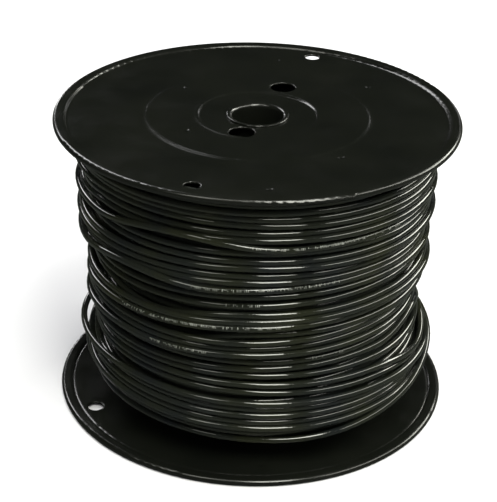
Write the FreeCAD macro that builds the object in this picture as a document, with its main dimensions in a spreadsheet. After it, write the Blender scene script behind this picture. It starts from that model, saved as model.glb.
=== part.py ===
"""Pressed-steel reel, 8 inches across, wound with 500 ft of 12 AWG building wire.

The reel stands on the rim of its lower flange. The origin is the centre of the bottom face,
+Z runs up the arbor, and all lengths are in millimetres.
"""
import FreeCAD, Part
import math
import os
import Sketcher
from types import SimpleNamespace

FULL_TURN = 360

# name, value, what it is
DRIVING_SIZES = [
    ("reel_height", 154.6, "over the rims of both flanges"),
    ("flange_diameter", 203.2, "8 in, over the rolled rim"),
    ("sheet_thickness", 1.0, "steel of the flanges"),
    ("rim_height", 3.4, "height of the rolled rim"),
    ("rim_flat", 2.9, "flat land along the crest of the rim"),
    ("rim_rise", 1.6, "crest of the rim above the web"),
    ("rim_fillet", 1.2, "bend between web and rim"),
    ("curl_end_angle", 35.0, "how far the curl's free edge turns up, below level"),
    ("seat_rise", 0.6, "raised disc that seats the barrel"),
    ("seat_radius", 54.5, "edge of the raised disc"),
    ("seat_bend", 3.0, "width of the bend round the raised disc"),
    ("ring_radius", 30.5, "crest of the stiffening ring round the hub"),
    ("ring_rise", 0.3, "crest of the ring above the raised disc"),
    ("ring_half_width", 2.0, "from the crest of the ring to its foot"),
    ("hub_edge_radius", 1.0, "rounded edge of the hub hole"),
    ("hub_clearance", 0.05, "between hub hole and arbor tube"),
    ("tie_hole_diameter", 8.0, "hole for tying the wire's end"),
    ("tie_hole_offset", 88.6, "tie hole from the axis"),
    ("drive_hole_diameter", 13.0, "hole for a drive pin"),
    ("drive_offset_far", 39.0, "outer drive hole from the axis"),
    ("drive_offset_near", 23.0, "inner drive hole from the axis"),
    ("upper_hole_angle", 71.0, "direction of the upper flange's row of holes"),
    ("lower_hole_angle", 205.0, "direction of the lower flange's row of holes"),
    ("arbor_diameter", 25.4, "1 in bore of the arbor tube"),
    ("tube_wall", 0.9, "wall of the arbor tube"),
    ("lip_reach", 1.0, "flat part of the tube's flared lip"),
    ("barrel_diameter", 108.0, "outside of the barrel"),
    ("barrel_wall", 0.9, "sheet of the barrel"),
    ("seam_width", 8.0, "lap seam inside the barrel"),
    ("seam_angle", 310.0, "direction of the lap seam"),
    ("slot_width", 27.0, "slot in the barrel for the wire's start"),
    ("slot_height", 6.0, "height of the same slot"),
    ("slot_centre", 8.6, "middle of the slot, back from where the wire joins its first turn"),
    ("wire_diameter", 3.3, "over the jacket, 12 AWG"),
    ("layer_step", 3.63, "from one layer of turns to the next"),
    ("inner_layers", 4.0, "layers in the inner third of the wire"),
    ("middle_layers", 3.0, "layers in the middle third of the wire"),
    ("foot_slope", 0.68, "rise per millimetre outwards where the winding draws in at its foot"),
    ("haunch_radius", 86.5, "winding above its foot"),
    ("haunch_height", 17.0, "height of the haunch"),
    ("slack_radius", 92.5, "loose turns low on the winding"),
    ("slack_bottom", 28.0, "lowest loose turns"),
    ("slack_top", 45.0, "highest loose turns"),
    ("waist_radius", 87.0, "slimmest part of the winding"),
    ("waist_bottom", 55.0, "foot of the waist"),
    ("waist_top", 84.0, "top of the waist"),
    ("top_radius", 90.8, "full winding under the upper flange"),
    ("top_bottom", 100.0, "where the winding is full again"),
    ("tail_bend", 24.0, "bend of the wire's start inside the barrel"),
    ("tail_length", 16.0, "straight end of the wire's start"),
    ("tail_height", 6.0, "centre of the wire's first turn above the floor"),
    ("tail_angle", 78.0, "direction in which the wire joins its first turn"),
    ("end_height", 36.0, "wire's outer end above the floor"),
    ("end_angle", 62.0, "direction of the wire's outer end"),
    ("end_sweep", 34.0, "last stretch of wire that lies on the winding"),
    ("strand_diameter", 0.46, "one strand of the copper conductor"),
    ("strand_spacing", 0.5, "between the centres of two strands"),
    ("strand_length", 6.0, "bare conductor beyond the jacket"),
]


class Size:
    """A length that knows its value and the sheet expression that gives it."""

    def __init__(self, value, text):
        self.value = value
        self.text = text

    def joined(self, sign, other, value):
        return Size(value, "(%s %s %s)" % (self.text, sign, as_size(other).text))

    def __add__(self, other):
        return self.joined("+", other, self.value + as_size(other).value)

    def __sub__(self, other):
        return self.joined("-", other, self.value - as_size(other).value)

    def __mul__(self, other):
        return self.joined("*", other, self.value * as_size(other).value)

    def __truediv__(self, other):
        return self.joined("/", other, self.value / as_size(other).value)

    def root(self):
        return Size(math.sqrt(self.value), "sqrt(%s)" % self.text)

    def cosine(self):
        return Size(math.cos(math.radians(self.value)), "cos(%s * 1 deg)" % self.text)

    def sine(self):
        return Size(math.sin(math.radians(self.value)), "sin(%s * 1 deg)" % self.text)


def as_size(value):
    return value if isinstance(value, Size) else Size(float(value), repr(float(value)))


def bind(thing, prop, size):
    """Ties one property of a document object to the sheet."""
    thing.setExpression(prop, as_size(size).text)


def make_sheet(doc):
    """Writes the driving sizes to the sheet and returns them by name."""
    sheet = doc.addObject("Spreadsheet::Sheet", "Sizes")
    sizes = SimpleNamespace()
    for row, (name, value, meaning) in enumerate(DRIVING_SIZES, start=1):
        sheet.set("A%d" % row, name)
        sheet.set("B%d" % row, str(value))
        sheet.setAlias("B%d" % row, name)
        sheet.set("C%d" % row, meaning)
        setattr(sizes, name, Size(value, "Sizes." + name))
    doc.recompute()
    return sizes


# ---------------------------------------------------------------- sketches

def arc_geometry(start, end, radius, left):
    """The short arc from start to end that bends left or right with this radius."""
    (x0, y0), (x1, y1) = start, end
    half = math.hypot(x1 - x0, y1 - y0) / 2
    rise = math.sqrt(max(radius ** 2 - half ** 2, 0.0)) * (1 if left else -1)
    centre_x = (x0 + x1) / 2 - (y1 - y0) / (2 * half) * rise
    centre_y = (y0 + y1) / 2 + (x1 - x0) / (2 * half) * rise
    first, last = (start, end) if left else (end, start)
    angles = [math.atan2(y - centre_y, x - centre_x) for x, y in (first, last)]
    if angles[1] < angles[0]:
        angles[1] += 2 * math.pi
    circle = Part.Circle(FreeCAD.Vector(centre_x, centre_y, 0), FreeCAD.Vector(0, 0, 1), radius)
    return Part.ArcOfCircle(circle, angles[0], angles[1])


def attached_sketch(body, name, role):
    sketch = body.newObject("Sketcher::SketchObject", name)
    plane = next(part for part in body.Origin.OriginFeatures if part.Role == role)
    sketch.AttachmentSupport = (plane, [""])
    sketch.MapMode = "FlatFace"
    return sketch


def constrain(sketch, kind, *ends, size):
    """Adds a dimension and ties it to the sheet."""
    index = sketch.addConstraint(Sketcher.Constraint(kind, *ends, size.value))
    sketch.setExpression("Constraints[%d]" % index, size.text)


def draw_outline(sketch, outline):
    """Draws a closed outline. Each corner is (x, y), or (x, y, radius, "left" or "right")
    where the stretch that ends there is an arc."""
    corners = [[as_size(value) for value in corner[:2]] for corner in outline]
    ends = []
    for number, corner in enumerate(outline):
        start = tuple(size.value for size in corners[number - 1])
        end = tuple(size.value for size in corners[number])
        if len(corner) == 2:
            vectors = [FreeCAD.Vector(x, y, 0) for x, y in (start, end)]
            sketch.addGeometry(Part.LineSegment(*vectors), False)
            ends.append((1, 2))
            continue
        left = corner[3] == "left"
        radius = as_size(corner[2])
        sketch.addGeometry(arc_geometry(start, end, radius.value, left), False)
        ends.append((1, 2) if left else (2, 1))
    for number, (begin, finish) in enumerate(ends):
        before = number - 1 if number else len(ends) - 1
        link = Sketcher.Constraint("Coincident", before, ends[before][1], number, begin)
        sketch.addConstraint(link)
    for number, (x, y) in enumerate(corners):
        constrain(sketch, "DistanceX", -1, 1, number, ends[number][1], size=x)
        constrain(sketch, "DistanceY", -1, 1, number, ends[number][1], size=y)
        if len(outline[number]) > 2:
            constrain(sketch, "Radius", number, size=as_size(outline[number][2]))


def draw_circle(sketch, x, y, diameter):
    x, y, diameter = as_size(x), as_size(y), as_size(diameter)
    centre = FreeCAD.Vector(x.value, y.value, 0)
    circle = Part.Circle(centre, FreeCAD.Vector(0, 0, 1), diameter.value / 2)
    number = sketch.addGeometry(circle, False)
    constrain(sketch, "DistanceX", -1, 1, number, 3, size=x)
    constrain(sketch, "DistanceY", -1, 1, number, 3, size=y)
    constrain(sketch, "Diameter", number, size=diameter)


def s_bend(start, end):
    """Two equal arcs that lead level from start to end, as corners of an outline.
    Both are (x, y), and the bend rises or falls whichever way x runs."""
    (x0, y0), (x1, y1) = start, end
    width, height = x1 - x0, y1 - y0
    clockwise = width.value * height.value < 0
    if height.value < 0:
        height = y0 - y1
    radius = (width * width + height * height) / (height * 4)
    first, second = ("right", "left") if clockwise else ("left", "right")
    return [((x0 + x1) / 2, (y0 + y1) / 2, radius, first), (x1, y1, radius, second)]


# ---------------------------------------------------------------- features

def new_body(doc, label):
    body = doc.addObject("PartDesign::Body", label)
    body.Label = label
    return body


def revolve(body, sketch):
    """Turns a section round the body's own Z axis."""
    feature = body.newObject("PartDesign::Revolution", body.Label + "_turned")
    feature.Profile = sketch
    feature.ReferenceAxis = (sketch, ["V_Axis"])
    feature.Angle = FULL_TURN
    sketch.Visibility = False
    body.Document.recompute()
    return feature


def pocket(body, sketch, reversed_direction):
    """Cuts through everything on one side of the sketch, and makes sure that it cut."""
    before = body.Shape.Volume
    feature = body.newObject("PartDesign::Pocket", sketch.Name + "_cut")
    feature.Profile = sketch
    feature.Type = "ThroughAll"
    feature.Reversed = reversed_direction
    body.Document.recompute()
    if body.Shape.Volume >= before:
        raise RuntimeError(sketch.Name + " cuts nothing")
    return feature


def place(thing, height=None, spin=0, flipped=False):
    """Lifts a piece to its height, turned about Z, or upside down first."""
    spin = as_size(spin)
    turn = FreeCAD.Rotation(FreeCAD.Vector(0, 0, 1), spin.value)
    if flipped:
        turn = turn * FreeCAD.Rotation(FreeCAD.Vector(1, 0, 0), 180)
    thing.Placement = FreeCAD.Placement(FreeCAD.Vector(0, 0, 0), turn)
    if not flipped:
        bind(thing, "Placement.Rotation.Angle", spin)
    if height is not None:
        bind(thing, "Placement.Base.z", height)


# ---------------------------------------------------------------- the reel

def flange_section(d):
    """Section of a pressed flange, out from the hub hole and back along its inner side.
    Depth runs from the crest of the rim into the reel."""
    rim = d.flange_diameter / 2
    bend = d.rim_height / 2
    inside_bend = bend - d.sheet_thickness
    outer_centre = rim - bend
    inner_centre = outer_centre - d.rim_flat
    web = d.rim_rise
    disc = web - d.seat_rise
    ring = disc - d.ring_rise
    inner_web = web + d.sheet_thickness
    hub = d.arbor_diameter / 2 + d.tube_wall + d.hub_clearance
    seat_foot = d.seat_radius + d.seat_bend
    ring_inside = d.ring_radius - d.ring_half_width
    ring_outside = d.ring_radius + d.ring_half_width
    # where the bend between web and rim meets the curl
    reach = bend + d.rim_fillet
    drop = bend - web + d.rim_fillet
    run = (reach * reach - drop * drop).root()
    fillet_start = inner_centre - run
    meet_x = inner_centre - run * bend / reach
    meet_y = bend - drop * bend / reach
    inner_meet_x = inner_centre - run * inside_bend / reach
    inner_meet_y = bend - drop * inside_bend / reach
    # the curl's free edge
    along = d.curl_end_angle.cosine()
    down = d.curl_end_angle.sine()

    def sheet_side(offset):
        """Hub to web, or the same line one sheet further in."""
        hub_face = web + offset
        disc_face = disc + offset
        crest_face = ring + offset
        return [(ring_inside, hub_face), (d.ring_radius, crest_face), (ring_outside, disc_face),
                (d.seat_radius, disc_face), (seat_foot, hub_face)]

    out = sheet_side(0)
    back = sheet_side(d.sheet_thickness)[::-1]
    outline = [(hub, inner_web), (hub + d.hub_edge_radius, web, d.hub_edge_radius, "right")]
    outline += [out[0]] + s_bend(out[0], out[1]) + s_bend(out[1], out[2])
    outline += [out[3]] + s_bend(out[3], out[4])
    outline += [(fillet_start, web),
                (meet_x, meet_y, d.rim_fillet, "right"),
                (inner_centre, 0, bend, "left"),
                (outer_centre, 0),
                (rim, bend, bend, "left"),
                (outer_centre, d.rim_height, bend, "left"),
                (inner_centre, d.rim_height),
                (inner_centre - bend * along, bend + bend * down, bend, "left"),
                (inner_centre - inside_bend * along, bend + inside_bend * down),
                (inner_centre, d.rim_height - d.sheet_thickness, inside_bend, "right"),
                (outer_centre, d.rim_height - d.sheet_thickness),
                (rim - d.sheet_thickness, bend, inside_bend, "right"),
                (outer_centre, d.sheet_thickness, inside_bend, "right"),
                (inner_centre, d.sheet_thickness),
                (inner_meet_x, inner_meet_y, inside_bend, "right"),
                (fillet_start, inner_web, d.rim_fillet + d.sheet_thickness, "left")]
    outline += [back[0]] + s_bend(back[0], back[1])
    outline += [back[2]] + s_bend(back[2], back[3]) + s_bend(back[3], back[4])
    return outline


def make_flange(doc, d, label, height, spin, flipped):
    """One pressed flange with its rolled rim, seat, hub hole, two tie holes and two drive holes."""
    body = new_body(doc, label)
    section = attached_sketch(body, label + "_section", "XZ_Plane")
    draw_outline(section, flange_section(d))
    revolve(body, section)

    tie_hole = attached_sketch(body, label + "_tie_hole", "XY_Plane")
    draw_circle(tie_hole, d.tie_hole_offset, 0, d.tie_hole_diameter)
    tie_cut = pocket(body, tie_hole, reversed_direction=True)
    pair = body.newObject("PartDesign::PolarPattern", label + "_tie_holes")
    pair.Originals = [tie_cut]
    pair.Axis = (tie_hole, ["N_Axis"])
    pair.Angle = FULL_TURN
    pair.Occurrences = 2
    body.Tip = pair
    doc.recompute()

    drive_holes = attached_sketch(body, label + "_drive_holes", "XY_Plane")
    draw_circle(drive_holes, d.drive_offset_far, 0, d.drive_hole_diameter)
    draw_circle(drive_holes, as_size(0) - d.drive_offset_near, 0, d.drive_hole_diameter)
    pocket(body, drive_holes, reversed_direction=True)
    place(body, height, spin, flipped)
    return body


def make_barrel(doc, d):
    """Sheet rolled into a tube, with its lap seam inside and a slot for the wire's start."""
    body = new_body(doc, "barrel")
    radius = d.barrel_diameter / 2
    seat_depth = d.rim_rise - d.seat_rise + d.sheet_thickness
    length = d.reel_height - seat_depth * 2

    wall = attached_sketch(body, "barrel_wall", "XY_Plane")
    draw_circle(wall, 0, 0, d.barrel_diameter)
    draw_circle(wall, 0, 0, d.barrel_diameter - d.barrel_wall * 2)
    tube = body.newObject("PartDesign::Pad", "barrel_tube")
    tube.Profile = wall
    bind(tube, "Length", length)
    doc.recompute()

    # the lap is a strip whose outer side reaches halfway into the wall
    seam = attached_sketch(body, "barrel_seam", "XY_Plane")
    face = radius - d.barrel_wall / 2
    lap = radius - d.barrel_wall * 2
    half = d.seam_width / 2
    draw_outline(seam, [(lap, as_size(0) - half), (face, as_size(0) - half), (face, half), (lap, half)])
    strip = body.newObject("PartDesign::Pad", "barrel_lap")
    strip.Profile = seam
    bind(strip, "Length", length)
    doc.recompute()

    slot = attached_sketch(body, "barrel_slot", "YZ_Plane")
    middle = d.tail_height - seat_depth
    end_bend = d.slot_height / 2
    reach = d.slot_width / 2 - end_bend
    left_end = as_size(0) - d.slot_centre - reach
    right_end = as_size(0) - d.slot_centre + reach
    draw_outline(slot, [(right_end, middle - end_bend),
                        (right_end + end_bend, middle, end_bend, "left"),
                        (right_end, middle + end_bend, end_bend, "left"),
                        (left_end, middle + end_bend),
                        (left_end - end_bend, middle, end_bend, "left"),
                        (left_end, middle - end_bend, end_bend, "left")])
    pocket(body, slot, reversed_direction=True)
    place(body, seat_depth, d.tail_angle)
    return body


def make_arbor_tube(doc, d):
    """Tube through both hubs, its ends flared over them to clamp the reel together."""
    body = new_body(doc, "arbor_tube")
    bore = d.arbor_diameter / 2
    outside = bore + d.tube_wall
    bend = d.hub_edge_radius
    outer_bend = bend + d.tube_wall
    flare = outside + bend
    lip = flare + d.lip_reach
    edge = d.tube_wall / 2
    outline = []
    face = d.rim_rise
    top_face = d.reel_height - face
    outline += [(bore, face + bend),
                (flare, face - d.tube_wall, outer_bend, "left"),
                (lip - edge, face - d.tube_wall),
                (lip, face - edge, edge, "left"),
                (lip - edge, face, edge, "left"),
                (flare, face),
                (outside, face + bend, bend, "right"),
                (outside, top_face - bend),
                (flare, top_face, bend, "right"),
                (lip - edge, top_face),
                (lip, top_face + edge, edge, "left"),
                (lip - edge, top_face + d.tube_wall, edge, "left"),
                (flare, top_face + d.tube_wall),
                (bore, top_face - bend, outer_bend, "left")]
    section = attached_sketch(body, "arbor_tube_section", "XZ_Plane")
    draw_outline(section, outline)
    revolve(body, section)
    return body


# ---------------------------------------------------------------- the wire

def layer_radius(d, layers):
    """Outer radius of the first few layers, on the barrel."""
    return d.barrel_diameter / 2 + d.wire_diameter / 2 + d.layer_step * layers - d.layer_step / 2


def make_inner_winding(doc, d, inside, outside):
    """The inner layers, which fill the space between the flanges."""
    body = new_body(doc, "wire_inner_layers")
    bottom = d.rim_rise + d.sheet_thickness
    top = d.reel_height - bottom
    section = attached_sketch(body, "wire_inner_layers_section", "XZ_Plane")
    draw_outline(section, [(inside, bottom), (outside, bottom), (outside, top), (inside, top)])
    revolve(body, section)
    return body


def make_outer_winding(doc, d, inside, foot_height):
    """The outer layers: full under the upper flange, a waist, loose turns low down, and a foot
    that draws in beside the lower flange."""
    body = new_body(doc, "wire_outer_layers")
    top = d.reel_height - d.rim_rise - d.sheet_thickness
    section = attached_sketch(body, "wire_outer_layers_section", "XZ_Plane")
    draw_outline(section, [(inside, foot_height),
                           (d.haunch_radius, d.haunch_height),
                           (d.slack_radius, d.slack_bottom),
                           (d.slack_radius, d.slack_top),
                           (d.waist_radius, d.waist_bottom),
                           (d.waist_radius, d.waist_top),
                           (d.top_radius, d.top_bottom),
                           (d.top_radius, top),
                           (inside, top)])
    revolve(body, section)
    return body


def make_middle_winding(doc, d, inside, outside, foot_height):
    """The middle layers, which stop ever shorter of the lower flange."""
    body = new_body(doc, "wire_middle_layers")
    bottom = d.rim_rise + d.sheet_thickness
    top = d.reel_height - bottom
    section = attached_sketch(body, "wire_middle_layers_section", "XZ_Plane")
    draw_outline(section, [(inside, bottom), (outside, foot_height), (outside, top), (inside, top)])
    revolve(body, section)
    return body


def make_start_tail(doc, d):
    """The wire's first end. It starts loose inside the barrel, passes through the slot and joins
    the first turn."""
    first_turn = d.barrel_diameter / 2 + d.wire_diameter / 2
    bend = doc.addObject("Part::Torus", "tail_bend")
    bind(bend, "Radius1", d.tail_bend)
    bind(bend, "Radius2", d.wire_diameter / 2)
    bend.Angle3 = 90
    bend.Placement.Rotation = FreeCAD.Rotation(FreeCAD.Vector(0, 0, 1), -90)
    bind(bend, "Placement.Base.x", first_turn - d.tail_bend)

    end = doc.addObject("Part::Cylinder", "tail_end")
    bind(end, "Radius", d.wire_diameter / 2)
    bind(end, "Height", d.tail_length)
    end.Placement.Rotation = FreeCAD.Rotation(FreeCAD.Vector(0, 1, 0), -90)
    bind(end, "Placement.Base.x", first_turn - d.tail_bend)
    bind(end, "Placement.Base.y", as_size(0) - d.tail_bend)

    whole = doc.addObject("Part::MultiFuse", "tail_whole")
    whole.Shapes = [bend, end]

    inside_winding = doc.addObject("Part::Cylinder", "inside_winding")
    bind(inside_winding, "Radius", d.barrel_diameter / 2)
    bind(inside_winding, "Height", d.reel_height)
    bind(inside_winding, "Placement.Base.z", as_size(0) - d.reel_height / 2)

    tail = doc.addObject("Part::MultiCommon", "wire_start_tail")
    tail.Label = "wire_start_tail"
    tail.Shapes = [whole, inside_winding]
    doc.recompute()
    place(tail, d.tail_height, d.tail_angle)
    return tail


def outer_end_radius(d):
    return d.slack_radius + d.wire_diameter / 2


def make_outer_end(doc, d):
    """The wire's last stretch, lying on the loose turns."""
    end = doc.addObject("Part::Torus", "wire_outer_end")
    end.Label = "wire_outer_end"
    bind(end, "Radius1", outer_end_radius(d))
    bind(end, "Radius2", d.wire_diameter / 2)
    bind(end, "Angle3", d.end_sweep)
    doc.recompute()
    place(end, d.end_height, d.end_angle - d.end_sweep)
    return end


def strand_places():
    """One strand in the middle and two rings of six and twelve, as steps in a honeycomb."""
    places = []
    for across in range(-2, 3):
        for up in range(-2, 3):
            if abs(across + up) <= 2:
                places.append((across + up / 2, up * math.sqrt(3) / 2))
    return places


def make_strands(doc, d):
    """The bare copper conductor at the wire's outer end: nineteen strands."""
    strands = []
    for number, (across, up) in enumerate(strand_places()):
        strand = doc.addObject("Part::Cylinder", "strand_%d" % number)
        bind(strand, "Radius", d.strand_diameter / 2)
        bind(strand, "Height", d.strand_length)
        strand.Placement.Rotation = FreeCAD.Rotation(FreeCAD.Vector(1, 0, 0), -90)
        bind(strand, "Placement.Base.x", outer_end_radius(d) + d.strand_spacing * across)
        bind(strand, "Placement.Base.z", d.strand_spacing * up)
        strands.append(strand)
    bundle = doc.addObject("Part::Compound", "outer_end_strands")
    bundle.Label = "outer_end_strands"
    bundle.Links = strands
    doc.recompute()
    place(bundle, d.end_height, d.end_angle)
    return bundle


# ---------------------------------------------------------------- the whole part

def make_parts(doc, d):
    inner_edge = layer_radius(d, d.inner_layers)
    middle_edge = layer_radius(d, d.inner_layers + d.middle_layers)
    foot_height = d.rim_rise + d.sheet_thickness + (middle_edge - inner_edge) * d.foot_slope
    return [
        make_flange(doc, d, "lower_flange", None, d.lower_hole_angle, flipped=False),
        make_flange(doc, d, "upper_flange", d.reel_height, d.upper_hole_angle, flipped=True),
        make_barrel(doc, d),
        make_arbor_tube(doc, d),
        make_inner_winding(doc, d, d.barrel_diameter / 2, inner_edge),
        make_middle_winding(doc, d, inner_edge, middle_edge, foot_height),
        make_outer_winding(doc, d, middle_edge, foot_height),
        make_start_tail(doc, d),
        make_outer_end(doc, d),
        make_strands(doc, d),
    ]


def check(doc, parts):
    """Stops if any object failed or any sub-part's shape is broken."""
    for thing in doc.Objects:
        if "Invalid" in thing.State or "Error" in thing.State:
            raise RuntimeError("%s failed: %s" % (thing.Label, thing.State))
    for part in parts:
        if part.Shape.isNull() or not part.Shape.isValid():
            raise RuntimeError(part.Label + " has no valid shape")


def export(parts):
    os.makedirs("parts", exist_ok=True)
    for part in parts:
        part.Shape.exportStep("parts/%s.step" % part.Label)
        box = part.Shape.BoundBox
        print("%-20s %10.1f mm3  %d solids  z %.2f to %.2f" % (
            part.Label, part.Shape.Volume, len(part.Shape.Solids), box.ZMin, box.ZMax))


def main():
    doc = FreeCAD.newDocument("wire_spool")
    sizes = make_sheet(doc)
    parts = make_parts(doc, sizes)
    doc.recompute()
    check(doc, parts)
    export(parts)


main()
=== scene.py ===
"""Looks for a black steel reel of building wire: turns of glossy wire, painted steel, studio light."""
import math

import bpy
import numpy as np
from mathutils import Matrix, Vector


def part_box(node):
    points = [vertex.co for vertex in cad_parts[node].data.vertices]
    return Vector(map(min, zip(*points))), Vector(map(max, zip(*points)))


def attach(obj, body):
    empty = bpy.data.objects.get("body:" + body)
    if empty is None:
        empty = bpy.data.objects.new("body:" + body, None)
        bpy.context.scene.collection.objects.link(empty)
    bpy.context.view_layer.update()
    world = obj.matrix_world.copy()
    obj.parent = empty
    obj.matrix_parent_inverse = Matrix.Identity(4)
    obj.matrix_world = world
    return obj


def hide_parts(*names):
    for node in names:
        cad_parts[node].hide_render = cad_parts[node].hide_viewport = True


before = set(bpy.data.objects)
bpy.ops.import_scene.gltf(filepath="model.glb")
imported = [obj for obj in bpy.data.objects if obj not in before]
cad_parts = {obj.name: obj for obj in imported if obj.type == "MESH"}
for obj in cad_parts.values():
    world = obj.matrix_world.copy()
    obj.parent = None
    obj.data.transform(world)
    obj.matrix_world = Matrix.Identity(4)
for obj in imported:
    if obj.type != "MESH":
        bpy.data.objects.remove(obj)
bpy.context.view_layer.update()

MM = 0.001
TURN = 2 * math.pi
SEED = 71
rng = np.random.default_rng(SEED)

# ---------------------------------------------------------------- sizes, in millimetres
REEL_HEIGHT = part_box("upper_flange")[1].z / MM
BARREL_RADIUS = 54.0
WIRE = 3.3                          # over the jacket, 12 AWG
WIRE_RADIUS = WIRE / 2
WEB_FACE = 2.6                      # inner face of a flange's web, from the crest of its rim
FIRST_CENTRE = BARREL_RADIUS + WIRE_RADIUS
LAYER_STEP = 3.63                   # from one layer to the next
LAST_LAYER = 9                      # the outermost; the innermost is nought
PITCH = 4.15                        # from one turn to the next in the inner layers
CLEARANCE = 0.2                     # between the end turns and the flanges
LOW_TURN = WEB_FACE + WIRE_RADIUS + CLEARANCE
HIGH_TURN = REEL_HEIGHT - LOW_TURN
OUTER_STEPS = 48                    # points in a turn of the outer three layers
INNER_STEPS = 24                    # and of the hidden ones, which lie 0.5 to 0.7 mm inside their circle
# the winding draws in beside the lower flange, on a cone
FOOT_RADIUS = 71.0
FOOT_HEIGHT = 9.0
FOOT_SLOPE = 0.68

# where the wire starts: loose inside the barrel, then through its slot
TAIL_BEND = 24.0
TAIL_LENGTH = 16.0
TAIL_HEIGHT = 6.0
TAIL_STEPS = 4                      # points along its straight part
BEND_STEPS = 8                      # and round its bend
START_ANGLE = math.radians(78)
# where the wire ends: on the loose turns at the back
END_RADIUS = 94.15
END_HEIGHT = 36.0
END_ANGLE = math.radians(62)
END_SWEEP = math.radians(34)
END_CLIMB = math.radians(110)
END_STEPS = 5                       # points in the sweep
END_EASE = 4                        # power of the climb by which the free end moves outwards
START_EASE = 12                     # points in which the outermost layer leaves the one below
OUTER_BOTTOM = 18.0                 # lowest turn of the outermost layer
BACK_SHARE = 0.3                    # how far a turn has come down to the next at a quarter turn
CRUSH = 0.15                        # a place this much nearer than touching still counts as clear
BRIDGE = 0.6                        # a crossing wire comes down this much from one point to the next
BRIDGE_REACH = 5                    # points that a crossing lifts before it
DRIFT = 0.55                        # spread of a turn's height along the wire
DRIFT_REACH = 9                     # in points
SLACK = 0.3                         # spread of its radius
SLACK_REACH = 13

# outside of the winding, as (height, radius), on four sides
LEFT = [(16, 84), (30, 84.2), (37, 82.4), (43, 81.2), (50, 80.8), (56, 85), (62, 86.4), (67, 83),
        (74, 81.6), (80, 81.6), (88, 81), (93, 81.2), (97, 82.8), (102, 87), (107, 90.8), (111, 91),
        (116, 84.8), (121, 84.6), (126, 87), (138, 90.2), (150, 90)]
FRONT = [(16, 86), (30, 90.5), (40, 90.5), (52, 88), (65, 87.5), (80, 88.4), (95, 89.2), (110, 90.5),
         (150, 91)]
RIGHT = [(16, 86), (27, 89.6), (38, 90.2), (46, 88.8), (54, 84.2), (62, 83.4), (70, 84.2), (77, 88),
         (84, 89.2), (94, 87.4), (107, 88.2), (118, 89.8), (132, 90.8), (150, 91)]
BACK = [(16, 85), (28, 90), (45, 90.2), (55, 87), (84, 87), (100, 90.8), (150, 90.8)]
SIDES = ((0, RIGHT), (90, BACK), (180, LEFT), (270, FRONT))


def outside(angle, height):
    """Centreline radius of the outermost layer at this angle and height."""
    total = 0.0
    radius = 0.0
    for side, profile in SIDES:
        weight = max(0.0, math.cos(angle - math.radians(side))) ** 2
        heights, radii = zip(*profile)
        radius += weight * float(np.interp(height, heights, radii))
        total += weight
    return radius / total - WIRE_RADIUS


def layer_centre(layer, angle, height):
    """Centreline radius of a layer: they share the room between barrel and outside evenly."""
    return FIRST_CENTRE + (outside(angle, height) - FIRST_CENTRE) * layer / LAST_LAYER


def lowest_turn(layer):
    """The winding draws in beside the lower flange, so outer layers stop higher."""
    radius = FIRST_CENTRE + LAYER_STEP * layer
    return max(LOW_TURN, FOOT_HEIGHT + FOOT_SLOPE * (radius - FOOT_RADIUS))


# ---------------------------------------------------------------- the wire's route

KNOT_SPREAD = 0.6                   # spread of random values of spread one, once they are smoothed


def smooth_noise(count, reach):
    """Random values about zero, of spread about one, that change over this many steps."""
    knots = int(count / reach) + 6
    values = rng.standard_normal(knots)
    places = np.arange(count) / reach + 2
    low = np.floor(places).astype(int)
    t = places - low
    weights = [(1 - t) ** 3, 3 * t ** 3 - 6 * t ** 2 + 4, -3 * t ** 3 + 3 * t ** 2 + 3 * t + 1, t ** 3]
    total = sum(values[low - 1 + k] * weight for k, weight in enumerate(weights)) / 6
    return total / KNOT_SPREAD


def ease(share):
    """From zero to one, level at both ends."""
    return share * share * (3 - 2 * share)


def plain_layer(route, layer, steps, first_height=None):
    """Adds one even layer to the route, upward for even layers and downward for odd ones."""
    upward = layer % 2 == 0
    bottom = lowest_turn(layer) if first_height is None else first_height
    start, end = (bottom, HIGH_TURN) if upward else (HIGH_TURN, bottom)
    if route and first_height is None:
        start = route[-1][2]
    count = round(abs(end - start) / PITCH * steps)
    angle = route[-1][0] if route else START_ANGLE
    first = 1 if route else 0
    for step in range(first, count + 1):
        height = start + (end - start) * step / count
        here = angle + TURN * step / steps
        # a quarter turn takes the wire up from the layer below
        climb = ease(min(1.0, 4 * step / steps)) if layer else 1.0
        radius = layer_centre(layer - 1 + climb, here, height)
        route.append((here, radius, height))


def to_metres(route):
    """Places, in metres, of a route given as (angle, radius, height)."""
    return [(r * math.cos(a) * MM, r * math.sin(a) * MM, z * MM) for a, r, z in route]


def tail_points():
    """From inside the barrel, round the bend and up to the first turn."""
    centre = FIRST_CENTRE - TAIL_BEND
    local = [(centre - TAIL_LENGTH * (1 - k / TAIL_STEPS), -TAIL_BEND) for k in range(TAIL_STEPS)]
    for k in range(BEND_STEPS):
        turn = math.radians(90 * k / BEND_STEPS - 90)
        local.append((centre + TAIL_BEND * math.cos(turn), TAIL_BEND * math.sin(turn)))
    c, s = math.cos(START_ANGLE), math.sin(START_ANGLE)
    return [((x * c - y * s) * MM, (x * s + y * c) * MM, TAIL_HEIGHT * MM) for x, y in local]


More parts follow.
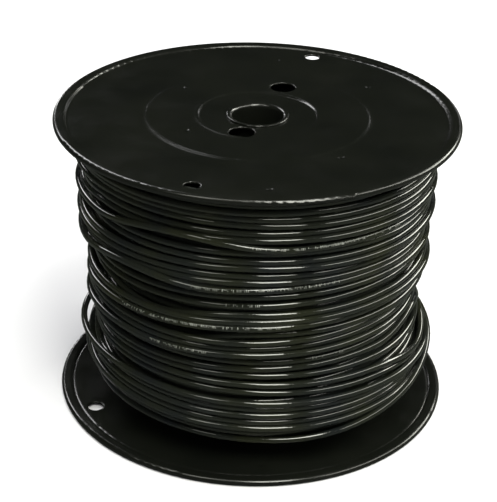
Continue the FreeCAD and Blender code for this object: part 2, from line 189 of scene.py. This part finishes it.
# The outermost layer is given turn by turn. Its turns are counted from the top down, and the lists give
# (turn, height) only where their spacing changes, on the left, the front and the right of the reel.
# The turns between are evenly spaced. Behind, each turn runs on to the next.
LEFT_AT, FRONT_AT, RIGHT_AT, BACK_AT = 213, 277, 324, 390
TURNS = 35
LEFT_LAY = [(0, 150), (4, 136), (7, 122.5), (12, 105), (14, 93.5), (21, 70), (24, 58.5), (28, 42.5),
            (34, 21)]
FRONT_LAY = [(0, 149.5), (10, 115), (13, 103), (15, 93), (19, 78), (20, 72.5), (24, 59), (28, 40),
             (34, 18.5)]
RIGHT_LAY = [(0, 149), (12, 105), (21, 70.5), (24, 57), (27, 40.5), (34, 19.5)]
STATION_GAP = math.radians(25)      # a place nearer than this to the one before is left out
STATION_SOFTNESS = 4                # points over which the turns' kinks are rounded
SETTLE_SOFTNESS = 2                 # and the steps of a crossing


def turns_of(lay):
    """Height of every turn on one side."""
    return [float(np.interp(turn, *zip(*lay))) for turn in range(TURNS)]


LEFT_TURNS, FRONT_TURNS, RIGHT_TURNS = [turns_of(lay) for lay in (LEFT_LAY, FRONT_LAY, RIGHT_LAY)]

# its loose stretches: (turn, middle angle in degrees, reach in degrees, rise, swell). A rise lifts
# the wire past its neighbours and a swell stands it off the winding.
LOOSE = [
    (5, 190, 26, -5.0, 0.2),
    (6, 192, 24, -4.0, 0.4),
    (12, 193, 22, -4.5, 0.3),
    (7, 246, 36, 6.0, 0.6),
    (13, 228, 32, 5.0, 0.6),
    (16, 236, 30, -5.0, 0.5),
    (17, 200, 40, 0.0, 0.2),
    (19, 238, 34, -7.5, 0.8),
    (21, 205, 28, 1.5, 0.2),
    (24, 341, 24, 7.0, 0.8),
    (26, 343, 30, -5.0, 1.2),
    (27, 345, 30, -4.0, 0.8),
    (28, 188, 32, 1.0, 9.4),
    (29, 186, 30, -2.0, 0.4),
]


def bump(angle, middle, reach):
    """One at the middle angle, nothing beyond the reach, smooth between."""
    off = abs(angle - middle) / reach
    return 0.5 + 0.5 * math.cos(math.pi * off) if off < 1 else 0.0


def soften(values, reach):
    """Running mean of the values along the wire."""
    weights = np.hanning(2 * reach + 3)[1:-1]
    return np.convolve(np.pad(values, reach, mode="edge"), weights / weights.sum(), "valid")


def turn_heights(angles):
    """Heights of the outermost layer at these angles, counted from the end of the layer below."""
    places, heights = [angles[0]], [HIGH_TURN]
    below = zip(LEFT_TURNS[1:] + [OUTER_BOTTOM], LEFT_TURNS, FRONT_TURNS, RIGHT_TURNS)
    for turn, (next_left, left, front, right) in enumerate(below):
        for side, height in ((LEFT_AT, left), (FRONT_AT, front), (RIGHT_AT, right),
                             (BACK_AT, right + (next_left - right) * BACK_SHARE),
                             (BACK_AT + 90, right + (next_left - right) * 2 * BACK_SHARE)):
            place = angles[0] // TURN * TURN + turn * TURN + math.radians(side)
            if place > places[-1] + STATION_GAP:
                places.append(place)
                heights.append(height)
    line = np.interp(angles, places, heights)
    return soften(line, STATION_SOFTNESS) + DRIFT * smooth_noise(len(angles), DRIFT_REACH)


def loose_parts(angles, heights):
    """Adds the listed rises, and gives how far each point swells out."""
    swell = np.zeros(len(angles))
    first = angles[0] // TURN * TURN
    for turn, middle, reach, rise, out in LOOSE:
        event = first + turn * TURN + math.radians(middle)
        for i, angle in enumerate(angles):
            share = bump(angle, event, math.radians(reach))
            heights[i] += rise * share
            swell[i] = max(swell[i], out * share)
    return heights, swell


def clears(radius, height, earlier):
    """True where a wire here keeps its distance from each (radius, height) of the earlier turns."""
    return all(math.hypot(radius - r, height - z) > WIRE - CRUSH for r, z in earlier)


def settle(heights, floor_radii):
    """Rests each point of the wire on the winding, or over the earlier turns that it crosses.

    The bridging here, and the softening after it, may leave a point nearer than it was set.
    """
    radii = floor_radii.copy()
    for i in range(len(radii)):
        earlier = [(radii[j], heights[j]) for j in range(i % OUTER_STEPS, i - OUTER_STEPS // 2, OUTER_STEPS)
                   if abs(heights[i] - heights[j]) < WIRE]
        offers = [floor_radii[i]]
        for radius, height in earlier:
            offers.append(radius + math.sqrt(WIRE ** 2 - (heights[i] - height) ** 2))
        for offer in sorted(offers):
            if offer >= floor_radii[i] and clears(offer, heights[i], earlier):
                radii[i] = offer
                break
        # a taut wire bridges the hollow beside a crossing
        for back in range(1, BRIDGE_REACH + 1):
            if i >= back:
                radii[i - back] = max(radii[i - back], radii[i] - BRIDGE * back)
        if i:
            radii[i] = max(radii[i], radii[i - 1] - BRIDGE)
    return radii


def outer_route(start):
    """Two plain layers, then the outermost one with its loose turns and its free end."""
    route = [start]
    plain_layer(route, LAST_LAYER - 2, OUTER_STEPS)
    plain_layer(route, LAST_LAYER - 1, OUTER_STEPS)
    first_angle, first_radius, _ = route[-1]
    last_turn = first_angle // TURN * TURN + TURN * TURNS
    goal = last_turn + END_ANGLE - END_SWEEP
    count = round((goal - first_angle) / TURN * OUTER_STEPS)
    angles = np.linspace(first_angle, goal, count + 1)
    heights, swell = loose_parts(angles, turn_heights(angles))
    # the free end climbs over the loose turns
    climb = ease(np.clip((angles - goal + END_CLIMB) / END_CLIMB, 0, 1))
    heights += (END_HEIGHT - heights) * climb
    base = np.array([outside(a, z) for a, z in zip(angles, heights)])
    base += swell + SLACK * smooth_noise(count + 1, SLACK_REACH)
    radii = soften(settle(heights, base), SETTLE_SOFTNESS)
    radii += (END_RADIUS - radii) * climb ** END_EASE
    joined = np.clip(np.arange(count + 1) / START_EASE, 0, 1)
    radii = radii * joined + (1 - joined) * first_radius
    route += list(zip(angles, radii, heights))[1:]
    for k in range(1, END_STEPS + 1):
        route.append((goal + END_SWEEP * k / END_STEPS, END_RADIUS, END_HEIGHT))
    return route, first_angle


# ---------------------------------------------------------------- curves

CURVE_STEPS = 2                     # pieces between two points of a curve


def wire_curve(name, points, roundness):
    """A round wire along the points, and the points that its centreline really passes."""
    data = bpy.data.curves.new(name, "CURVE")
    data.dimensions = "3D"
    data.resolution_u = CURVE_STEPS
    spline = data.splines.new("NURBS")
    spline.points.add(len(points) - 1)
    spline.points.foreach_set("co", [value for point in points for value in (*point, 1.0)])
    spline.order_u = 3
    spline.use_endpoint_u = True
    curve = bpy.data.objects.new(name, data)
    bpy.context.scene.collection.objects.link(curve)
    bpy.context.view_layer.update()
    mesh = bpy.data.meshes.new_from_object(curve)
    line = np.array([vertex.co for vertex in mesh.vertices])
    bpy.data.meshes.remove(mesh)
    data.bevel_depth = WIRE_RADIUS * MM
    data.bevel_resolution = roundness
    data.use_fill_caps = True
    return curve, line


# ---------------------------------------------------------------- print on the jacket

# stretches that carry print: (height, first angle, last angle), angles in degrees. The marks are
# plain dashes and spell nothing.
PRINTS = [
    (124.4, 268, 298),
    (121.2, 290, 320),
    (103.0, 252, 274),
    (101.0, 271, 298),
    (91.0, 262, 274),
    (84.6, 255, 279),
    (80.0, 256, 265),
    (79.0, 226, 254),
    (70.0, 238, 257),
    (61.0, 290, 302),
]
MARK_STEP = 0.85                    # from one dash to the next
MARK_WIDTH = 0.3
WIDE_MARK = 1.7                     # times the width of the others
MARK_RISE = 0.05                    # above the jacket
MARK_TALL = math.radians(40)        # how far a tall dash runs round the wire
MARK_LEAN = math.radians(34)        # middle of the print, above level
MARK_ROWS = 5                       # rows of corners along a dash
# a random share below each of these leaves a gap, or makes a dash an upper half, a lower half or a
# narrow one; above them all, it is wide
GAP, UPPER_HALF, LOWER_HALF, NARROW = 0.3, 0.5, 0.65, 0.85
HEIGHT_COUNTS = 0.4                 # weight of a turn's wrong height against its standing out


def merge(faces, corners, new_corners, new_faces):
    """Adds corners, and faces that number them from nought, to a mesh in the making."""
    faces += [tuple(len(corners) + i for i in face) for face in new_faces]
    corners += new_corners


def mark_slab(centre, along, outward, upward, low, high, width):
    """Corners and faces of a thin slab that follows the jacket between two angles."""
    corners = []
    for k in range(MARK_ROWS):
        turn = low + (high - low) * k / (MARK_ROWS - 1)
        normal = outward * math.cos(turn) + upward * math.sin(turn)
        for radius in (WIRE_RADIUS - MARK_RISE, WIRE_RADIUS + MARK_RISE):
            for side in (-0.5, 0.5):
                corners.append((centre + normal * radius + along * side * width) * MM)
    last = 4 * MARK_ROWS - 4
    faces = [(0, 1, 3, 2), (last, last + 2, last + 3, last + 1)]
    for k in range(MARK_ROWS - 1):
        a, b = 4 * k, 4 * k + 4
        faces += [(a, b, b + 1, a + 1), (a + 2, a + 3, b + 3, b + 2),
                  (a, a + 2, b + 2, b), (a + 1, b + 1, b + 3, a + 3)]
    return corners, faces


def printed_turn(line, turned, height, middle):
    """Turns to add to an angle for the outermost turn near this height, and its radius there."""
    first = math.ceil((turned[0] - middle) / TURN)
    last = math.floor((turned[-1] - middle) / TURN)
    passes = np.arange(first, last + 1)
    at = passes * TURN + middle
    wrong = abs(np.interp(at, turned, line[:, 2]) - height)
    outward = np.interp(at, turned, np.hypot(line[:, 0], line[:, 1]))
    near = [k for k in range(len(at)) if wrong[k] < PITCH]
    best = max(near, key=lambda k: outward[k] - HEIGHT_COUNTS * wrong[k])
    return passes[best], outward[best]


def wire_frame(line, turned, angle, reach):
    """Centre of the wire at this angle, and its directions along, outward and upward."""
    places = [Vector([float(np.interp(a, turned, line[:, axis])) for axis in range(3)])
              for a in (angle - reach, angle, angle + reach)]
    before, centre, after = places
    along = (after - before).normalized()
    outward = Vector((centre.x, centre.y, 0)).normalized()
    upward = outward.cross(along).normalized()
    if upward.z < 0:
        upward = -upward
    outward = (outward - along * outward.dot(along)).normalized()
    return centre, along, outward, upward


def print_run(line, turned, height, first, last):
    """Dashes along the outermost turn that passes nearest this height at the run's middle."""
    turns, radius = printed_turn(line, turned, height, math.radians((first + last) / 2))
    corners, faces = [], []
    step = MARK_STEP / radius
    for k in range(round(math.radians(last - first) / step)):
        kind = rng.random()
        if kind < GAP:
            continue
        here = turns * TURN + math.radians(first) + k * step
        low, high = MARK_LEAN - MARK_TALL / 2, MARK_LEAN + MARK_TALL / 2
        if kind < UPPER_HALF:
            low = MARK_LEAN
        elif kind < LOWER_HALF:
            high = MARK_LEAN
        width = MARK_WIDTH if kind < NARROW else MARK_WIDTH * WIDE_MARK
        merge(faces, corners, *mark_slab(*wire_frame(line, turned, here, step), low, high, width))
    return corners, faces


def print_marks(line, start_angle, first_turn):
    """All the print, as one mesh, on the wire of this line in metres, from the first turn on."""
    line = line / MM
    turned = np.unwrap(np.arctan2(line[:, 1], line[:, 0]))
    turned += round((start_angle - turned[0]) / TURN) * TURN
    chosen = turned > first_turn
    line, turned = line[chosen], turned[chosen]
    corners, faces = [], []
    for height, first, last in PRINTS:
        merge(faces, corners, *print_run(line, turned, height, first, last))
    mesh = bpy.data.meshes.new("wire_print_marks")
    mesh.from_pydata(corners, [], faces)
    marks = bpy.data.objects.new("wire_print_marks", mesh)
    bpy.context.scene.collection.objects.link(marks)
    return marks


# ---------------------------------------------------------------- materials

# relief and edges, in metres
JACKET_RELIEF = 0.00004
PEEL_RELIEF = 0.000004
DENT_DEPTH = 0.0006
EDGE_RADIUS = 0.0012
EDGE_SAMPLES = 12
DENTS = 15                          # cells per metre, each with a dent
DENT_SIZE = 0.034                   # radius of a dent, as a share of a cell


def new_material(name, colour, roughness, metallic=0.0):
    material = bpy.data.materials.new(name)
    material.use_nodes = True
    shader = material.node_tree.nodes["Principled BSDF"]
    shader.inputs["Base Color"].default_value = (*colour, 1)
    shader.inputs["Roughness"].default_value = roughness
    shader.inputs["Metallic"].default_value = metallic
    return material, material.node_tree, shader


def dress(thing, material):
    thing.data.materials.clear()
    thing.data.materials.append(material)


def object_space(tree):
    return tree.nodes.new("ShaderNodeTexCoord").outputs["Object"]


def noise(tree, scale, detail):
    """Noise in the object's own space, in cells of 1/scale metres."""
    node = tree.nodes.new("ShaderNodeTexNoise")
    node.inputs["Scale"].default_value = scale
    node.inputs["Detail"].default_value = detail
    tree.links.new(object_space(tree), node.inputs["Vector"])
    return node.outputs["Fac"]


NOISE_LOW, NOISE_HIGH = 0.3, 0.7    # nearly all of a noise lies between these


def spread(tree, value, low, high):
    """The value, stretched from its usual middle range to run from low to high."""
    node = tree.nodes.new("ShaderNodeMapRange")
    node.inputs["From Min"].default_value = NOISE_LOW
    node.inputs["From Max"].default_value = NOISE_HIGH
    node.inputs["To Min"].default_value = low
    node.inputs["To Max"].default_value = high
    tree.links.new(value, node.inputs["Value"])
    return node.outputs["Result"]


def blend(tree, share, first, second):
    """A colour between the two, by the share."""
    node = tree.nodes.new("ShaderNodeMix")
    node.data_type = "RGBA"
    node.inputs["A"].default_value = (*first, 1)
    node.inputs["B"].default_value = (*second, 1)
    tree.links.new(share, node.inputs["Factor"])
    return node.outputs["Result"]


def tint(tree, shader, scale, detail, first, second):
    """A base colour that drifts between the two."""
    share = spread(tree, noise(tree, scale, detail), 0, 1)
    tree.links.new(blend(tree, share, first, second), shader.inputs["Base Color"])


def roughen(tree, shader, scale, detail, low, high):
    """A roughness that drifts between the two."""
    tree.links.new(spread(tree, noise(tree, scale, detail), low, high), shader.inputs["Roughness"])


def bump_by(tree, shader, height, distance, normal=None):
    """Relief by the height, this many metres deep, on top of another normal."""
    node = tree.nodes.new("ShaderNodeBump")
    node.inputs["Strength"].default_value = 1.0
    node.inputs["Distance"].default_value = distance
    tree.links.new(height, node.inputs["Height"])
    if normal is not None:
        tree.links.new(normal, node.inputs["Normal"])
    tree.links.new(node.outputs["Normal"], shader.inputs["Normal"])
    return node.outputs["Normal"]


def jacket_material():
    """Glossy nylon skin over black, with a faint olive and blue cast that drifts along the winding."""
    material, tree, shader = new_material(
        "wire_jacket_gloss", colour=(0.0085, 0.0098, 0.0072), roughness=0.08)
    bluish, olive = (0.0066, 0.0078, 0.0080), (0.0108, 0.0120, 0.0066)
    tint(tree, shader, scale=38, detail=3, first=bluish, second=olive)
    roughen(tree, shader, scale=210, detail=4, low=0.05, high=0.13)
    bump_by(tree, shader, noise(tree, scale=520, detail=2), JACKET_RELIEF)
    return material


def dents(tree):
    """Small round dents, scattered over the level faces. One where the paint is whole."""
    cells = tree.nodes.new("ShaderNodeTexVoronoi")
    cells.voronoi_dimensions = "2D"
    cells.inputs["Scale"].default_value = DENTS
    tree.links.new(object_space(tree), cells.inputs["Vector"])
    edge = tree.nodes.new("ShaderNodeMapRange")
    edge.interpolation_type = "SMOOTHSTEP"
    edge.inputs["From Max"].default_value = DENT_SIZE
    tree.links.new(cells.outputs["Distance"], edge.inputs["Value"])
    return edge.outputs["Result"]


def rounded_edges(tree):
    node = tree.nodes.new("ShaderNodeBevel")
    node.samples = EDGE_SAMPLES
    node.inputs["Radius"].default_value = EDGE_RADIUS
    return node.outputs["Normal"]


def paint_material():
    """Dipped gloss paint with a slight orange peel, small dents and dull rubbed patches."""
    material, tree, shader = new_material(
        "black_paint_gloss", colour=(0.0042, 0.0048, 0.0038), roughness=0.2)
    thin, thick = (0.0030, 0.0035, 0.0027), (0.0048, 0.0054, 0.0040)
    tint(tree, shader, scale=26, detail=4, first=thin, second=thick)
    roughen(tree, shader, scale=60, detail=6, low=0.15, high=0.27)
    dented = bump_by(tree, shader, dents(tree), DENT_DEPTH, rounded_edges(tree))
    bump_by(tree, shader, noise(tree, scale=900, detail=2), PEEL_RELIEF, dented)
    return material


def copper_material():
    """Drawn copper, partly dulled."""
    material, tree, shader = new_material(
        "copper_strands", colour=(0.72, 0.32, 0.17), roughness=0.32, metallic=1.0)
    bright, dull = (0.74, 0.34, 0.18), (0.50, 0.20, 0.11)
    tint(tree, shader, scale=700, detail=3, first=bright, second=dull)
    roughen(tree, shader, scale=1500, detail=2, low=0.24, high=0.42)
    return material


def print_material():
    """Pale ink, partly rubbed off."""
    material, tree, shader = new_material(
        "jacket_print_ink", colour=(0.2, 0.21, 0.19), roughness=0.5)
    pale, worn = (0.20, 0.205, 0.185), (0.03, 0.032, 0.026)
    tint(tree, shader, scale=420, detail=3, first=pale, second=worn)
    return material


# ---------------------------------------------------------------- the wire's pieces

# four layers, then three, then the last three: each length stays under what a cord may have
inner = []
plain_layer(inner, 0, INNER_STEPS, TAIL_HEIGHT)
for layer in (1, 2, 3):
    plain_layer(inner, layer, INNER_STEPS)
middle = [inner[-1]]
for layer in (4, 5, 6):
    plain_layer(middle, layer, INNER_STEPS)
outer, hand_laid_from = outer_route(middle[-1])

jacket = jacket_material()
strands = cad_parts["outer_end_strands"]


def lay_wire(name, points, roundness, nodes):
    """One of the wire's three cords, in place of its CAD nodes. Gives its centreline."""
    curve, line = wire_curve(name, points, roundness)
    dress(curve, jacket)
    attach(curve, "root")
    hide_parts(*nodes)
    return line


HIDDEN_ROUNDNESS, SEEN_ROUNDNESS = 2, 4
lay_wire("wire_inner", tail_points() + to_metres(inner), HIDDEN_ROUNDNESS,
         ("wire_inner_layers", "wire_start_tail"))
lay_wire("wire_middle", to_metres(middle), HIDDEN_ROUNDNESS, ("wire_middle_layers",))
outer_line = lay_wire("wire_outer", to_metres(outer), SEEN_ROUNDNESS,
                      ("wire_outer_layers", "wire_outer_end"))

marks = print_marks(outer_line, outer[0][0], hand_laid_from)
dress(marks, print_material())
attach(marks, "root")

paint = paint_material()
for node in ("lower_flange", "upper_flange", "barrel", "arbor_tube"):
    dress(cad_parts[node], paint)
dress(strands, copper_material())

# ---------------------------------------------------------------- floor, light and camera

FLOOR_SIZE = 12
FLOOR_ROUGHNESS = 0.9
FLOOR_SHADE = (0.65, 0.65, 0.68)
FLOOR_MIRRORED = (0.04, 0.045, 0.04)
WORLD_SHADE = (0.75, 0.75, 0.75)
WORLD_MIRRORED = (0.012, 0.013, 0.012)

AIM = Vector((0, 0, 0.08))             # the lights face the middle of the reel
WHITE = (1.0, 1.0, 1.0)
OLIVE_WHITE = (1.0, 1.0, 0.9)          # a faint green and yellow cast
# soft panels: (name, azimuth, elevation, distance, width, height, watts, colour). Azimuth 0 is the
# camera's side, positive to the right.
LIGHTS = [
    ("key", 18.5, 57, 1.3, 0.42, 0.75, 18, OLIVE_WHITE),
    ("fill", -38, 57, 1.4, 0.3, 0.7, 3.5, OLIVE_WHITE),
    ("right_panel", 74, 38, 1.3, 1.2, 0.25, 9, OLIVE_WHITE),
    ("right_back", 122, 28, 1.3, 0.9, 0.25, 11, OLIVE_WHITE),
    ("left_strip", -141, 36, 1.3, 0.36, 0.55, 4.5, WHITE),
    ("left_low_strip", -157, 10, 1.3, 0.14, 0.26, 0.9, WHITE),
    ("step_strip", -163, 46, 1.3, 0.12, 0.36, 0.2, WHITE),
    ("right_far_strip", 160, 16, 1.3, 0.08, 0.36, 0.15, WHITE),
]

# the camera, in metres and radians
CAMERA_PLACE = (0.0, -0.73705, 0.46126)
PITCH_DOWN = 0.4810
YAW = -0.0039
ROLL = 0.0252
LENS = 114.63                          # in millimetres, on a sensor this wide
SENSOR = 36.0


def area_light(name, azimuth, elevation, distance, width, height, watts, colour):
    data = bpy.data.lights.new(name, "AREA")
    data.shape = "RECTANGLE"
    data.size, data.size_y = width, height
    data.energy = watts
    data.color = colour
    lamp = bpy.data.objects.new(name, data)
    a, e = math.radians(azimuth), math.radians(elevation)
    offset = Vector((math.sin(a) * math.cos(e), -math.cos(a) * math.cos(e), math.sin(e)))
    lamp.location = AIM + offset * distance
    lamp.rotation_euler = offset.to_track_quat("Z", "Y").to_euler()
    lamp.visible_camera = False
    bpy.context.scene.collection.objects.link(lamp)


def dim_when_mirrored(tree, plain, mirrored, socket):
    """One shade for the camera and for matt surfaces, a darker one in the reel's gloss."""
    ray = tree.nodes.new("ShaderNodeLightPath")
    tree.links.new(blend(tree, ray.outputs["Is Glossy Ray"], plain, mirrored), socket)


def make_floor():
    """Pale floor. The reel mirrors a dimmer one, as if it stood in a dark room."""
    bpy.ops.mesh.primitive_plane_add(size=FLOOR_SIZE, location=(0, 0, 0))
    floor = bpy.context.object
    floor.name = "floor"
    material, tree, shader = new_material("pale_floor", FLOOR_SHADE, FLOOR_ROUGHNESS)
    dim_when_mirrored(tree, FLOOR_SHADE, FLOOR_MIRRORED, shader.inputs["Base Color"])
    dress(floor, material)


def make_world():
    """Pale where the camera sees it and on matt surfaces, dim where the reel mirrors it."""
    world = bpy.data.worlds.new("studio")
    world.use_nodes = True
    bpy.context.scene.world = world
    background = world.node_tree.nodes["Background"]
    dim_when_mirrored(world.node_tree, WORLD_SHADE, WORLD_MIRRORED, background.inputs["Color"])


def make_camera():
    data = bpy.data.cameras.new("camera")
    data.sensor_width = SENSOR
    data.lens = LENS
    camera = bpy.data.objects.new("camera", data)
    forward = Vector((math.sin(YAW) * math.cos(PITCH_DOWN), math.cos(YAW) * math.cos(PITCH_DOWN),
                      -math.sin(PITCH_DOWN)))
    right = Vector((math.cos(YAW), -math.sin(YAW), 0))
    up = right.cross(forward)
    side = math.cos(ROLL) * right + math.sin(ROLL) * up
    over = -math.sin(ROLL) * right + math.cos(ROLL) * up
    turn = Matrix((side, over, -forward)).transposed()
    camera.matrix_world = Matrix.Translation(CAMERA_PLACE) @ turn.to_4x4()
    bpy.context.scene.collection.objects.link(camera)
    bpy.context.scene.camera = camera


make_floor()
make_world()
make_camera()
for light in LIGHTS:
    area_light(*light)
bpy.context.scene.view_settings.view_transform = "Standard"
